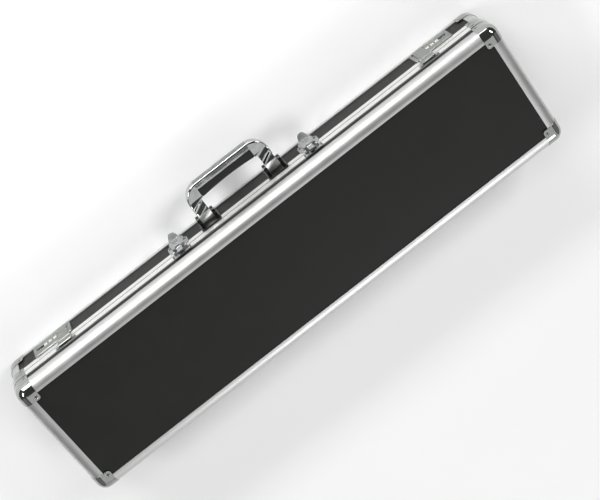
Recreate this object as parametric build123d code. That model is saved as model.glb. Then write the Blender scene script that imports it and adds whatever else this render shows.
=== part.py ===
"""Aluminium-framed cue case, lying on its back with the lid on top.

+X runs along the length, -Y faces the handle side, +Y faces the hinge side and
+Z runs from the rear panel up to the lid. The origin is the middle of the foot
of the whole outline, handle and hinges included. Millimetres.
"""

import os

from build123d import *

# ---- driving dimensions -------------------------------------------------
length = 838.0             # over the edge profiles, along X
width = 208.0              # over the edge profiles, handle side to hinge side
lid_depth = 44.0           # lid face to seam
base_depth = 66.0          # seam to rear face
seam_gap = 0.8             # between the two closure rails

board = 4.0                # laminated panel board
profile_wall = 1.5         # outer skin of every extrusion
profile_leg = 18.3         # leg of the rounded edge profile
profile_radius = 15.0      # its outer rounding
inner_wall = 1.2           # inner skin of every extrusion
slot_depth = 6.0           # how far a board sits in a profile
board_play = 0.2           # end clearance of a board in its slot

corner_strap_gap = 2.8     # lid's ball corners to its rim straps, which are as high as its rail
base_rail_height = 11.5    # visible band of the base's closure rail
rail_web = 4.0
rail_inner_height = 9.0
tongue_width = 1.5
tongue_height = 2.0
tongue_play = 0.5

corner_wall = 0.9          # pressed chrome sheet
corner_overlap = 9.7       # of a ball corner's legs over the edge profiles
corner_tab_radius = 4.0
strap_overlap = 7.7        # of a rim strap over the closure rails
strap_corner_radius = 2.0
strap_slot_length = 7.0
strap_slot_width = 2.6
rivet_margin = 4.2         # rivet centre from the edge of the profile's leg
rivet_radius = 1.6
rivet_head_radius = 2.6
rivet_bore_radius = 1.2
rivet_bore_depth = 2.0
rivet_recess = 0.15
strap_rivet_radius = 1.2
strap_rivet_depth = 3.5

fit = 0.3                  # clearance between pieces on different bodies
pin_play = 0.05            # radial running clearance on a pin
pad_play = 0.5             # soft inserts to the walls round them

# soft interior
lid_pad_rise = 4.0         # seam to the underside of the lid pad
floor_pad_top = 24.0       # rear face to the channel bottoms
insert_drop = 8.0          # top of the dividers to the seam
butt_channel = 33.0
shaft_channel = 18.0
channel_order = ("butt", "shaft", "shaft", "butt", "shaft", "shaft")
cue_length = 750.0
end_block = 8.0
accessory_wall = 10.0

# handle
handle_width = 138.0
handle_height = 61.0       # above the handle-side face
handle_arm = 19.5
handle_thickness = 12.0
handle_outer_radius = 25.0
handle_cap_height = 10.0
handle_cap_thickness = 16.0
handle_head_arm = 23.0     # arm width beside the grip
grip_height = 15.0
grip_arch = 2.5
grip_thickness = 13.0
handle_pivot_height = 9.5
handle_pivot_drop = 21.5   # seam to handle pivot
handle_pin_radius = 2.0
handle_pin_head_radius = 3.2
handle_pin_head = 1.2
bracket_width = 34.0
bracket_drop = 0.5         # seam to the bracket's front edge
bracket_foot = 23.0        # rear face to the bracket's rear edge
bracket_plate = 2.5
bracket_radius = 4.0
ear_radius = 7.2
ear_wall = 4.5
ear_clearance = 0.35

# draw latches
latch_offset = 116.0       # from the case's middle
latch_plate_width = 33.5
latch_plate_tail = 24.0
latch_plate_top = 0.5      # seam to the plate's front edge
latch_plate_foot = 25.5    # rear face to the plate's rear edge
latch_sheet = 1.2
latch_ear_gap = 20.6
latch_ear_wall = 1.2
latch_pivot_ahead = 2.5    # past the seam, over the lid's rail
latch_pivot_height = 3.4
latch_pin_radius = 1.0
latch_ear_run = 6.0
lever_width = 20.0
lever_length = 29.0
lever_top = 7.4
lever_front_drop = 1.0
lever_flange = 1.2
lever_flange_run = 18.0
lever_tab_rise = 9.0
lever_tab_run = 6.0
lever_tab_width = 17.0
lever_dome_shift = 2.6     # centre of the tab's round end, ahead of the cover's rear edge
claw_width = 9.0
claw_sheet = 1.2
claw_pivot_back = 5.0      # behind the lever's pivot
claw_pivot_rise = 1.2      # above the lever's pivot
claw_notch = 3.2           # behind the claw's pivot, cut into the lever's cover
claw_pin_radius = 0.7
claw_eye_wall = 0.6
claw_reach = 12.0          # past the seam onto the lid
catch_width = 31.0
catch_start = 2.0          # past the seam
catch_length = 14.0
catch_sheet = 1.0
catch_lip = 1.5

# combination locks
lock_offset = 339.0
lock_width = 65.0
lock_play = 0.5            # base rail to the plate's front edge
lock_foot = 3.2            # edge profile to the plate's rear edge
lock_face = 2.0            # plate above the handle-side face
lock_radius = 3.0
lock_box_back = 5.3        # rear box behind the handle-side face
lock_box_height = 12.0
dial_radius = 4.4
dial_width = 4.4
dial_pitch = 8.2
dial_centre = -3.0         # middle dial, from the lock's middle towards the case's middle
dial_axis_depth = 1.2      # behind the handle-side face
dial_play = 0.3
dial_flats = 10
axle_radius = 0.8
slider_centre = -23.0
slider_width = 8.0
slider_height = 6.6
slider_rise = 3.4
slider_travel = 4.5
slider_bed = 1.4
hasp_centre = 18.0
hasp_width = 17.0
hasp_head_width = 22.0
hasp_sheet = 1.6
hasp_head_rise = 4.6
hasp_pivot_back = 4.0      # from the plate's rear edge
hasp_pivot_height = 2.2
hasp_knuckle = 1.8
hasp_pin_radius = 0.8
hasp_front_gap = 0.2
keeper_start = 0.9
keeper_length = 12.0
keeper_rise = 4.4
keeper_foot_width = 34.0
keeper_foot_length = 7.0
keeper_foot_rise = 1.2

# hinges
hinge_offsets = (-280.0, 0.0, 280.0)
hinge_width = 60.0
hinge_leaf = 1.4
base_leaf_height = 11.0
lid_leaf_height = 12.5
barrel_radius = 3.0
barrel_knuckles = 5
hinge_pin_radius = 1.25
screw_head_radius = 2.2
screw_radius = 1.3
screw_depth = 3.5

# ---- places worked out from them ----------------------------------------
half_x = length / 2
half_y = width / 2
floor_z = corner_wall                       # rear outer plane
seam_z = floor_z + base_depth
lid_z = seam_z + lid_depth                  # lid outer plane
face_y = -half_y                            # handle-side outer plane
back_y = half_y                             # hinge-side outer plane
core = profile_wall + board + inner_wall    # depth of a profile's inner flange
slot_floor = profile_leg - slot_depth
corner_reach = profile_leg + corner_overlap # leg of a ball corner
strap_reach = profile_leg + strap_overlap   # leg of a rim strap
rivet_inset = profile_leg + rivet_margin    # rivet centre from the outer planes
lid_rail_height = lid_depth - corner_reach - corner_strap_gap
lid_pad_depth = lid_depth - lid_pad_rise
insert_top = base_depth - insert_drop
bracket_height = base_depth - bracket_drop - bracket_foot
latch_plate_height = base_depth - latch_plate_top - latch_plate_foot
lock_drop = base_rail_height + lock_play    # seam to the plate's front edge
lock_height = base_depth - profile_leg - lock_foot - lock_drop
hasp_pivot_drop = lock_drop + lock_height - hasp_pivot_back
board_edge = slot_floor + board_play        # board edge from the outer plane
inside = core + pad_play                    # soft pieces from the outer plane
rail_end = profile_leg
barrel_y = back_y + barrel_radius + fit
centre_y = (handle_height - (barrel_y + barrel_radius - back_y)) / 2


# ---- helpers ------------------------------------------------------------
def block(x0, x1, y0, y1, z0, z1):
    """A box between two values on each axis."""
    low = (min(x0, x1), min(y0, y1), min(z0, z1))
    size = (abs(x1 - x0), abs(y1 - y0), abs(z1 - z0))
    return Pos(*low) * Box(*size, align=(Align.MIN, Align.MIN, Align.MIN))


def rod_x(radius, x0, x1, y, z):
    """A round bar along X."""
    return Pos((x0 + x1) / 2, y, z) * Rot(0, 90, 0) * Cylinder(radius, abs(x1 - x0))


def rod_y(radius, y0, y1, x, z):
    """A round bar along Y."""
    return Pos(x, (y0 + y1) / 2, z) * Rot(90, 0, 0) * Cylinder(radius, abs(y1 - y0))


def rod_z(radius, z0, z1, x, y):
    """A round bar along Z."""
    return Pos(x, y, (z0 + z1) / 2) * Cylinder(radius, abs(z1 - z0))


def out(height):
    """The Y of a point that stands this far out of the handle-side face."""
    return face_y - height


def both_sides(piece, plane):
    """A piece and its mirror image."""
    return [piece, mirror(piece, about=plane)]


def four_corners(piece):
    """A corner piece and its three mirror images."""
    pair = both_sides(piece, Plane.YZ)
    return pair + [mirror(one, about=Plane.XZ) for one in pair]


def as_base(pieces):
    """Half-case pieces, modelled outer face down, put in place as the base."""
    return [Pos(0, 0, floor_z) * piece for piece in pieces]


def as_lid(pieces):
    """Half-case pieces, modelled outer face down, turned over as the lid."""
    return [Pos(0, 0, lid_z) * mirror(piece, about=Plane.XY) for piece in pieces]


def mirrored(pieces, side):
    """Pieces modelled for the +X side, mirrored when side is -1."""
    if side > 0:
        return pieces
    return [mirror(piece, about=Plane.YZ) for piece in pieces]


def save(name, pieces):
    """Moves a node's solids to the part's origin and writes them."""
    solids = [solid for piece in pieces for solid in piece.solids()]
    moved = [Pos(0, centre_y, 0) * solid for solid in solids]
    export_step(Compound(children=moved) if len(moved) > 1 else moved[0], f"parts/{name}.step")


# ---- extrusions ---------------------------------------------------------
def edge_section():
    """The rounded edge profile: a hollow corner with a slot for each board."""
    at_corner = (Align.MIN, Align.MIN)
    outline = Rectangle(profile_leg, profile_leg, align=at_corner)
    outline = fillet(outline.vertices().sort_by_distance((0, 0, 0))[0], profile_radius)
    open_corner = Pos(core, core) * Rectangle(profile_leg, profile_leg, align=at_corner)
    slot = Pos(profile_wall, slot_floor) * Rectangle(board, slot_depth, align=at_corner)
    other_slot = Pos(slot_floor, profile_wall) * Rectangle(slot_depth, board, align=at_corner)
    hollow_edge = slot_floor - inner_wall
    inner_corner = profile_wall + board
    hollow = Pos(profile_radius, profile_radius) * Circle(profile_radius - profile_wall)
    hollow &= Rectangle(hollow_edge, hollow_edge, align=at_corner)
    hollow -= Pos(inner_corner, inner_corner) * Rectangle(profile_leg, profile_leg, align=at_corner)
    return outline - open_corner - slot - other_slot - hollow


def long_profiles():
    """The two edge profiles along X, open to the inside."""
    run = length - 2 * profile_leg
    place = Plane(origin=(-run / 2, face_y, 0), x_dir=(0, 1, 0), z_dir=(1, 0, 0))
    return both_sides(extrude(place * edge_section(), run), Plane.XZ)


def end_profiles():
    """The two edge profiles along Y."""
    run = width - 2 * profile_leg
    place = Plane(origin=(-half_x, -run / 2, 0), x_dir=(0, 0, 1), z_dir=(0, 1, 0))
    return both_sides(extrude(place * edge_section(), run), Plane.YZ)


def corner_posts(depth):
    """The four upright edge profiles, from the ball corners to the seam."""
    run = depth - profile_leg - seam_gap / 2
    place = Plane(origin=(-half_x, -half_y, profile_leg), x_dir=(1, 0, 0), z_dir=(0, 0, 1))
    return four_corners(extrude(place * edge_section(), run))


def rail(x0, x1, depth, height, is_lid):
    """A closure rail along the handle side, with its tongue or its groove."""
    top = depth - seam_gap / 2
    skin = block(x0, x1, face_y, face_y + profile_wall, depth - height, top)
    web = block(x0, x1, face_y, face_y + core, depth - rail_web, top)
    inner_y = face_y + profile_wall + board
    inner = block(x0, x1, inner_y, inner_y + inner_wall, depth - rail_inner_height, top)
    body = skin + web + inner
    middle = face_y + core / 2
    if is_lid:
        half = tongue_width / 2 + tongue_play
        groove_depth = tongue_height + tongue_play
        return body - block(x0, x1, middle - half, middle + half, depth - groove_depth, depth)
    half = tongue_width / 2
    return body + block(x0, x1, middle - half, middle + half, depth - rail_web, depth + tongue_height)


def long_rails(depth, height, is_lid):
    """The closure rails along the handle side and the hinge side."""
    return both_sides(rail(-half_x + rail_end, half_x - rail_end, depth, height, is_lid), Plane.XZ)


def end_rails(depth, height, is_lid):
    """The closure rails across the two ends."""
    reach = half_y - rail_end
    across = Pos(-half_x + half_y, 0, 0) * Rot(0, 0, -90) * rail(-reach, reach, depth, height, is_lid)
    return both_sides(across, Plane.YZ)


# ---- boards -------------------------------------------------------------
def face_board():
    """The large laminated panel."""
    x = half_x - board_edge
    y = half_y - board_edge
    return block(-x, x, -y, y, profile_wall, profile_wall + board)


def long_boards(depth):
    """The handle-side and hinge-side boards of one half."""
    x = half_x - board_edge
    top = depth - rail_web - board_play
    outer = face_y + profile_wall
    return both_sides(block(-x, x, outer, outer + board, board_edge, top), Plane.XZ)


def end_boards(depth):
    """The two end boards of one half."""
    y = half_y - board_edge
    top = depth - rail_web - board_play
    outer = -half_x + profile_wall
    return both_sides(block(outer, outer + board, -y, y, board_edge, top), Plane.YZ)


# ---- chrome corners -----------------------------------------------------
def rounded_corner_box(wall, reach, tab_radius):
    """A cube at the -X -Y foot corner with its three outer edges rounded into a ball."""
    low = -wall
    cube = block(low, reach, low, reach, low, reach)
    outer_edges = [e for e in cube.edges() if touching(e, low)]
    if tab_radius:
        inner_edges = [e for e in cube.edges() if touching(e, reach)]
        cube = fillet(inner_edges, tab_radius)
        outer_edges = [e for e in cube.edges() if touching(e, low)]
    return Pos(-half_x, -half_y, 0) * fillet(outer_edges, profile_radius + wall)


def touching(edge, value):
    """Whether two coordinates of a straight edge both sit at this value all along."""
    if edge.geom_type != GeomType.LINE:
        return False
    ends = (edge @ 0, edge @ 1)
    held = [i for i in range(3) if all(abs(tuple(end)[i] - value) < 1e-6 for end in ends)]
    return len(held) == 2


def rivet_places():
    """Where each rivet of the -X -Y corner goes through: a point and its inward direction."""
    x = -half_x + rivet_inset
    y = -half_y + rivet_inset
    return [((x, y, 0), "z"), ((x, -half_y, rivet_inset), "y"), ((-half_x, y, rivet_inset), "x")]


def along(direction, place, radius, start, end):
    """A round bar that runs inward from an outer plane, between two depths."""
    x, y, z = place
    if direction == "z":
        return rod_z(radius, z + start, z + end, x, y)
    if direction == "y":
        return rod_y(radius, y + start, y + end, x, z)
    return rod_x(radius, x + start, x + end, y, z)


def sink(direction, place, top, bottom, wide, narrow):
    """A countersunk cone that opens outward between two depths."""
    x, y, z = place
    cone = Cone(wide, narrow, bottom - top)
    middle = (top + bottom) / 2
    if direction == "z":
        return Pos(x, y, z + middle) * cone
    if direction == "y":
        return Pos(x, y + middle, z) * Rot(-90, 0, 0) * cone
    return Pos(x + middle, y, z) * Rot(0, 90, 0) * cone


def ball_corners():
    """Four pressed ball corners, each with a tab and a countersunk hole on three faces."""
    shell = rounded_corner_box(corner_wall, corner_reach, corner_tab_radius)
    shell -= rounded_corner_box(0, corner_reach + corner_wall, 0)
    for place, direction in rivet_places():
        shell -= sink(direction, place, -corner_wall, 0, rivet_head_radius, rivet_radius)
    return four_corners(shell)


def corner_rivets():
    """Tubular rivets that clamp the ball corners to the boards."""
    rivets = []
    depth = profile_wall + board
    for place, direction in rivet_places():
        shank = along(direction, place, rivet_radius, 0, depth)
        top = -corner_wall + rivet_recess
        slope = (rivet_head_radius - rivet_radius) / corner_wall
        wide = rivet_radius + slope * -top
        head = sink(direction, place, top, 0, wide, rivet_radius)
        bore = along(direction, place, rivet_bore_radius, top, top + rivet_bore_depth)
        rivets += four_corners(shank + head - bore)
    return rivets


def strap_slots(depth, height):
    """The slot centres of the -X -Y rim strap: along the handle side and along the end."""
    z = depth - (height + seam_gap / 2) / 2
    middle = strap_reach - strap_corner_radius - strap_slot_length / 2
    return [((-half_x + middle, -half_y, z), "y"), ((-half_x, -half_y + middle, z), "x")]


def rim_straps(depth, height):
    """Four bent straps that close the rim corners over the rail ends."""
    low, top = depth - height, depth - seam_gap / 2
    outer = block(-corner_wall, strap_reach, -corner_wall, strap_reach, low, top)
    upright = outer.edges().filter_by(Axis.Z)
    near = upright.sort_by_distance((0, 0, (low + top) / 2))[0]
    outer = fillet(near, profile_radius + corner_wall)
    inner = block(0, length, 0, width, low - 1, top + 1)
    uprights = inner.edges().filter_by(Axis.Z)
    inner = fillet(uprights.sort_by_distance((0, 0, (low + top) / 2))[0], profile_radius)
    strap = Pos(-half_x, -half_y, 0) * (outer - inner)
    for (x, y, z), direction in strap_slots(depth, height):
        straight = (strap_slot_length - strap_slot_width) / 2
        for shift in (-straight, straight):
            if direction == "y":
                strap -= along("y", (x + shift, y, z), strap_slot_width / 2, -2 * corner_wall, 1)
            else:
                strap -= along("x", (x, y + shift, z), strap_slot_width / 2, -2 * corner_wall, 1)
        half = strap_slot_width / 2
        if direction == "y":
            strap -= block(x - straight, x + straight, y - 2 * corner_wall, y + 1, z - half, z + half)
        else:
            strap -= block(x - 2 * corner_wall, x + 1, y - straight, y + straight, z - half, z + half)
    return four_corners(strap)


def strap_rivets(depth, height):
    """Small rivets in the strap slots, into the closure rails."""
    rivets = []
    for place, direction in strap_slots(depth, height):
        rivets += four_corners(along(direction, place, strap_rivet_radius, -corner_wall / 2, strap_rivet_depth))
    return rivets


def drilled(pieces, fasteners):
    """Pieces with a hole for each fastener that goes through them."""
    result = []
    for piece in pieces:
        box = piece.bounding_box()
        for fastener in fasteners:
            other = fastener.bounding_box()
            apart = any(
                a_low > b_high or b_low > a_high
                for a_low, a_high, b_low, b_high in zip(
                    tuple(box.min), tuple(box.max), tuple(other.min), tuple(other.max)
                )
            )
            if not apart:
                piece = piece - fastener
        result.append(piece)
    return result


# ---- soft interior ------------------------------------------------------
def bedded_pad(top):
    """A pad between the boards, stepped to clear the profiles' inner flanges."""
    bed_x, bed_y = half_x - profile_leg - pad_play, half_y - profile_leg - pad_play
    bed = block(-bed_x, bed_x, -bed_y, bed_y, profile_wall + board, core)
    x, y = half_x - inside, half_y - inside
    return bed + block(-x, x, -y, y, core, top)


def channel_walls():
    """The Y span of each divider between the cue channels."""
    widths = [butt_channel if kind == "butt" else shaft_channel for kind in channel_order]
    wall = (width - 2 * inside - sum(widths)) / (len(widths) + 1)
    spans = []
    y = face_y + inside
    for gap in widths + [0]:
        spans.append((y, y + wall))
        y += wall + gap
    return spans


def channel_ends():
    """The X span of the cue channels."""
    start = -half_x + inside + end_block
    return start, start + cue_length


def dividers():
    """The foam walls between the cues, one solid each."""
    x0, x1 = channel_ends()
    return [block(x0, x1, y0, y1, floor_pad_top, insert_top) for y0, y1 in channel_walls()]


def end_blocks():
    """The foam blocks at both ends and the wall of the accessory compartment."""
    x0, x1 = channel_ends()
    y = half_y - inside
    end = half_x - inside
    return [
        block(-end, x0, -y, y, floor_pad_top, insert_top),
        block(x1, x1 + accessory_wall, -y, y, floor_pad_top, insert_top),
        block(end - end_block, end, -y, y, floor_pad_top, insert_top),
    ]


# ---- handle -------------------------------------------------------------
def handle_place():
    """The pivot's Y and Z."""
    return out(handle_pivot_height), seam_z - handle_pivot_drop


def bracket_centre():
    """The middle of a handle arm along X."""
    return handle_width / 2 - handle_arm / 2


def slab(outline, thickness, z):
    """An outline drawn in X and height above the face, made this thick along Z."""
    place = Plane(origin=(0, face_y, z), x_dir=(1, 0, 0), z_dir=(0, 0, -1))
    return extrude(place * outline, thickness / 2, both=True)


def handle_frame():
    """The plated bail: two arms with round feet, and a cap across the top."""
    pivot_y, pivot_z = handle_place()
    half = handle_width / 2
    arm_height = handle_height - handle_pivot_height
    low = (Align.CENTER, Align.MIN)
    shape = Pos(0, handle_pivot_height) * Rectangle(handle_width, arm_height, align=low)
    tops = [v for v in shape.vertices() if v.Y > handle_height - 1]
    shape = fillet(tops, handle_outer_radius)
    under_cap = handle_height - handle_cap_height
    grip_low = under_cap - grip_height
    window = Pos(0, handle_pivot_height) * Rectangle(
        2 * (half - handle_arm), grip_low - handle_pivot_height, align=low
    )
    bay = Pos(0, grip_low) * Rectangle(2 * (half - handle_head_arm), grip_height, align=low)
    arms = slab(shape - window - bay, handle_thickness, pivot_z)
    arms = fillet(arms.edges().filter_by(GeomType.CIRCLE), handle_thickness / 6)
    cap_low = Pos(0, under_cap) * Rectangle(handle_width, handle_cap_height, align=low)
    cap = slab(shape & cap_low, handle_cap_thickness, pivot_z)
    edge_fillet = (handle_cap_thickness - handle_thickness) / 2 + 1
    cap_top = [e for e in cap.edges() if e.center().Y < out(handle_height) + 1e-3]
    cap = fillet(cap_top, edge_fillet)
    frame = arms + cap
    for side in (-1, 1):
        x0, x1 = side * (half - handle_arm), side * half
        frame += rod_x(handle_thickness / 2, x0, x1, pivot_y, pivot_z)
    bore = rod_x(handle_pin_radius + pin_play, -half - 1, half + 1, pivot_y, pivot_z)
    return frame - bore


def handle_grip():
    """The black grip set between the arms under the cap, arched underneath."""
    pivot_z = handle_place()[1]
    half = handle_width / 2 - handle_head_arm
    top = handle_height - handle_cap_height
    low = top - grip_height
    arch = ThreePointArc((half, low), (0, low + grip_arch), (-half, low))
    sides = Polyline((-half, low), (-half, top), (half, top), (half, low))
    return slab(make_face(arch + sides), grip_thickness, pivot_z)


def handle_bracket():
    """The black bracket at +X: a plate on rail and panel, and two ears for the pin."""
    pivot_y, pivot_z = handle_place()
    x = bracket_centre()
    top = seam_z - bracket_drop
    low = top - bracket_height
    half = bracket_width / 2
    plate = block(x - half, x + half, out(bracket_plate), face_y, low, top)
    plate = fillet(plate.edges().filter_by(Axis.Y), bracket_radius)
    pad_top = seam_z - base_rail_height - fit
    pad = block(x - half, x + half, face_y, face_y + profile_wall, low + bracket_radius, pad_top)
    body = plate + pad
    gap = handle_arm / 2 + ear_clearance
    for side in (-1, 1):
        x0, x1 = x + side * gap, x + side * (gap + ear_wall)
        body += rod_x(ear_radius, x0, x1, pivot_y, pivot_z)
        body += block(x0, x1, pivot_y, out(bracket_plate / 2), pivot_z - ear_radius, pivot_z + ear_radius)
    return body - rod_x(handle_pin_radius, x - half, x + half, pivot_y, pivot_z)


def handle_pin():
    """The headed pin through one bracket and one foot of the handle."""
    pivot_y, pivot_z = handle_place()
    x = bracket_centre()
    reach = handle_arm / 2 + ear_clearance + ear_wall
    pin = rod_x(handle_pin_radius, x - reach, x + reach, pivot_y, pivot_z)
    for side in (-1, 1):
        end = x + side * reach
        pin += rod_x(handle_pin_head_radius, end, end + side * handle_pin_head, pivot_y, pivot_z)
    return pin


# ---- draw latches, modelled for the +X side ------------------------------
def latch_pivot():
    """The lever pivot's height above the face and its Z."""
    return latch_pivot_height, seam_z + latch_pivot_ahead


def latch_eye_radius():
    """The radius of the eyes round the lever's pins, clear of plate and catch."""
    return latch_pivot_height - latch_sheet - fit


def claw_pivot():
    """The claw pivot's height above the face and its Z, with the lever shut."""
    height, z = latch_pivot()
    return height + claw_pivot_rise, z - claw_pivot_back


def latch_plate():
    """The latch's riveted plate: wide shoulders, a narrower tail and two pivot ears."""
    x = latch_offset
    top = seam_z - latch_plate_top
    low = top - latch_plate_height
    half = latch_plate_width / 2
    shoulder_low = top - latch_plate_height * 0.8
    shoulder_top = top - latch_plate_height * 0.1
    wide = block(x - half, x + half, out(latch_sheet), face_y, shoulder_low, shoulder_top)
    wide = fillet(wide.edges().filter_by(Axis.Y), half / 2)
    tail = latch_plate_tail / 2
    long = block(x - tail, x + tail, out(latch_sheet), face_y, low, top)
    long = fillet(long.edges().filter_by(Axis.Y), latch_sheet * 2)
    pad_top = seam_z - base_rail_height - fit
    pad = block(x - tail, x + tail, face_y, face_y + profile_wall, low + fit, pad_top)
    plate = wide + long + pad
    height, z = latch_pivot()
    eye = latch_eye_radius()
    for side in (-1, 1):
        x0 = x + side * latch_ear_gap / 2
        x1 = x0 + side * latch_ear_wall
        plate += rod_x(eye, x0, x1, out(height), z)
        plate += block(x0, x1, out(height + eye), out(height - eye), top - latch_ear_run, z)
        plate += block(x0, x1, out(height), out(latch_sheet / 2), top - latch_ear_run, top)
    plate -= rod_x(latch_pin_radius, x - half, x + half, out(height), z)
    for place, direction in latch_rivet_places():
        plate -= along(direction, place, rivet_radius, -2 * latch_sheet, 2 * profile_wall)
    return plate


def latch_rivet_places():
    """The rivets through the latch plate's shoulders and its side post."""
    x = latch_offset
    z = seam_z - latch_plate_top - latch_plate_height * 0.62
    aside = latch_plate_width / 2 - 4
    return [((x + side * aside, face_y, z), "y") for side in (-1, 1)]


def latch_rivets():
    """Both latches' rivets, with low round heads."""
    rivets = []
    for place, direction in latch_rivet_places():
        rivet = along(direction, place, rivet_radius, -latch_sheet, profile_wall + board)
        rivet += along(direction, place, rivet_head_radius * 0.9, -latch_sheet - 0.7, -latch_sheet)
        rivets += both_sides(rivet, Plane.YZ)
    return rivets


def latch_lever():
    """The lever: a cover plate with two side flanges and a domed finger tab."""
    x = latch_offset
    height, z = latch_pivot()
    front = seam_z - lever_front_drop
    rear = front - lever_length
    half = lever_width / 2
    top = lever_top
    cover = block(x - half, x + half, out(top), out(top - latch_sheet), rear, front)
    cover = fillet(cover.edges().filter_by(Axis.Y), latch_sheet * 2)
    claw_height, claw_z = claw_pivot()
    notch = claw_width / 2 + fit
    notch_end = claw_z - claw_notch
    cover -= block(x - notch, x + notch, out(top + 1), out(height), notch_end, front + 1)
    for side in (-1, 1):
        x0 = x + side * half
        x1 = x0 - side * lever_flange
        flange = block(x0, x1, out(height), out(top - latch_sheet / 2), z - lever_flange_run, z)
        cover += flange + rod_x(latch_eye_radius(), x0, x1, out(height), z)
    tab_half = lever_tab_width / 2
    tab_points = [
        (out(top), rear + latch_sheet),
        (out(top - latch_sheet), rear + latch_sheet),
        (out(top - latch_sheet), rear - 1),
        (out(top + lever_tab_rise - latch_sheet), rear - lever_tab_run),
        (out(top + lever_tab_rise), rear - lever_tab_run + latch_sheet / 2),
        (out(top), rear + latch_sheet / 2),
    ]
    side_view = Plane(origin=(x, 0, 0), x_dir=(0, 1, 0), z_dir=(1, 0, 0))
    tab = extrude(side_view * make_face(Polyline(*tab_points, close=True)), tab_half, both=True)
    dome = rod_y(tab_half, face_y, out(top + lever_tab_rise), x, rear + lever_dome_shift)
    tab &= dome
    lever = cover + tab
    lever -= rod_x(latch_pin_radius + pin_play, x - half - 1, x + half + 1, out(height), z)
    return lever - rod_x(claw_pin_radius, x - half - 1, x + half + 1, out(claw_height), claw_z)


def latch_claw():
    """The claw: an eye on the lever's cross pin and a strap with a turned-down nose."""
    x = latch_offset
    height, z = claw_pivot()
    half = claw_width / 2
    eye_radius = claw_pin_radius + claw_eye_wall
    eye = rod_x(eye_radius, x - half, x + half, out(height), z)
    nose_z = seam_z + claw_reach
    strap_low = height - claw_sheet / 2
    strap = block(x - half, x + half, out(height + claw_sheet / 2), out(strap_low), z, nose_z)
    nose_low = catch_sheet + catch_lip + fit
    nose = block(x - half, x + half, out(height + claw_sheet / 2), out(nose_low), nose_z - 2 * claw_sheet, nose_z)
    claw = eye + strap + nose
    return claw - rod_x(claw_pin_radius + pin_play, x - half - 1, x + half + 1, out(height), z)


def latch_lever_pins():
    """Stub pins that carry the levers in the plates' ears."""
    height, z = latch_pivot()
    pins = []
    outer = latch_ear_gap / 2 + latch_ear_wall
    for side in (-1, 1):
        x0 = latch_offset + side * (lever_width / 2 - lever_flange)
        x1 = latch_offset + side * outer
        pins += both_sides(rod_x(latch_pin_radius, x0, x1, out(height), z), Plane.YZ)
    return pins


def latch_claw_pin():
    """The cross pin that carries the claw in the lever's flanges."""
    height, z = claw_pivot()
    half = lever_width / 2
    return rod_x(claw_pin_radius, latch_offset - half, latch_offset + half, out(height), z)


def latch_catch():
    """The catch on the lid's rail, with a low lip under the claw's nose."""
    x = latch_offset
    z0 = seam_z + catch_start
    z1 = z0 + catch_length
    half = catch_width / 2
    rail_top = seam_z + lid_rail_height
    plate = block(x - half, x + half, out(catch_sheet), face_y, z0, z1)
    plate = fillet(plate.edges().filter_by(Axis.Y), catch_sheet * 3)
    lip_half = claw_width * 0.7
    lip_z = seam_z + claw_reach - 3 * claw_sheet
    lip = block(x - lip_half, x + lip_half, out(catch_sheet + catch_lip), face_y, lip_z - catch_sheet, lip_z)
    ears = []
    for side in (-1, 1):
        e0 = x + side * half
        ears.append(block(e0, e0 - side * catch_sheet * 2, out(catch_sheet + catch_lip), face_y, z0 + 3, rail_top - 3))
    return plate + lip + ears[0] + ears[1]


# ---- combination locks, modelled for the +X side --------------------------
def along_lock(inward):
    """The X of a point this far from the lock's middle towards the case's middle."""
    return lock_offset - inward


def lock_span(middle, size):
    """The X span of a feature of this size."""
    return along_lock(middle) - size / 2, along_lock(middle) + size / 2


def dial_z():
    """The Z of the dials' axle."""
    return seam_z - lock_drop - lock_height / 2


def dial_y():
    """The Y of the dials' axle."""
    return face_y + dial_axis_depth


def dial_centres():
    """The X of each dial."""
    return [along_lock(dial_centre + k * dial_pitch) for k in (-1, 0, 1)]


def lock_rear_box(play):
    """The box behind the lock plate, or the cut-out for it with some play."""
    span = 3 * dial_pitch + 2
    x0, x1 = lock_span(dial_centre, span + 2 * play)
    half = lock_box_height / 2 + play
    back = face_y + (lock_box_back if not play else 2 * lock_box_back)
    return block(x0, x1, face_y, back, dial_z() - half, dial_z() + half)


def lock_plate():
    """The lock's cast plate with its rear box, dial wells, slider bed and hasp bay."""
    x0, x1 = lock_span(0, lock_width)
    top = seam_z - lock_drop
    low = top - lock_height
    plate = block(x0, x1, out(lock_face), face_y + profile_wall, low, top)
    plate = fillet(plate.edges().filter_by(Axis.Y), lock_radius)
    front_edges = [e for e in plate.edges() if e.center().Y < out(lock_face) + 1e-3]
    plate = chamfer(front_edges, lock_face / 3)
    plate += lock_rear_box(0)
    for x in dial_centres():
        half = dial_width / 2 + dial_play / 2
        plate -= rod_x(dial_radius + dial_play, x - half, x + half, dial_y(), dial_z())
    reach = 1.5 * dial_pitch
    middle = along_lock(dial_centre)
    plate -= rod_x(axle_radius, middle - reach, middle + reach, dial_y(), dial_z())
    slider_mid = slider_centre + slider_travel / 2
    s0, s1 = lock_span(slider_mid, slider_width + slider_travel + 2 * fit)
    s_half = slider_height / 2 + fit
    plate -= block(s0, s1, out(lock_face + 1), out(lock_face - slider_bed), dial_z() - s_half, dial_z() + s_half)
    h0, h1 = lock_span(hasp_centre, hasp_width + 2 * fit)
    pivot_z = seam_z - hasp_pivot_drop
    well = hasp_knuckle + fit
    plate -= rod_x(well, h0, h1, out(hasp_pivot_height), pivot_z)
    for side in (-1, 1):
        wall_x = along_lock(hasp_centre) + side * (hasp_width / 2 + fit)
        outer_x = wall_x + side * hasp_knuckle
        plate += rod_x(hasp_knuckle, wall_x, outer_x, out(hasp_pivot_height), pivot_z)
    p0, p1 = hasp_pin_span()
    return plate - rod_x(hasp_pin_radius, p0, p1, out(hasp_pivot_height), pivot_z)


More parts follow.
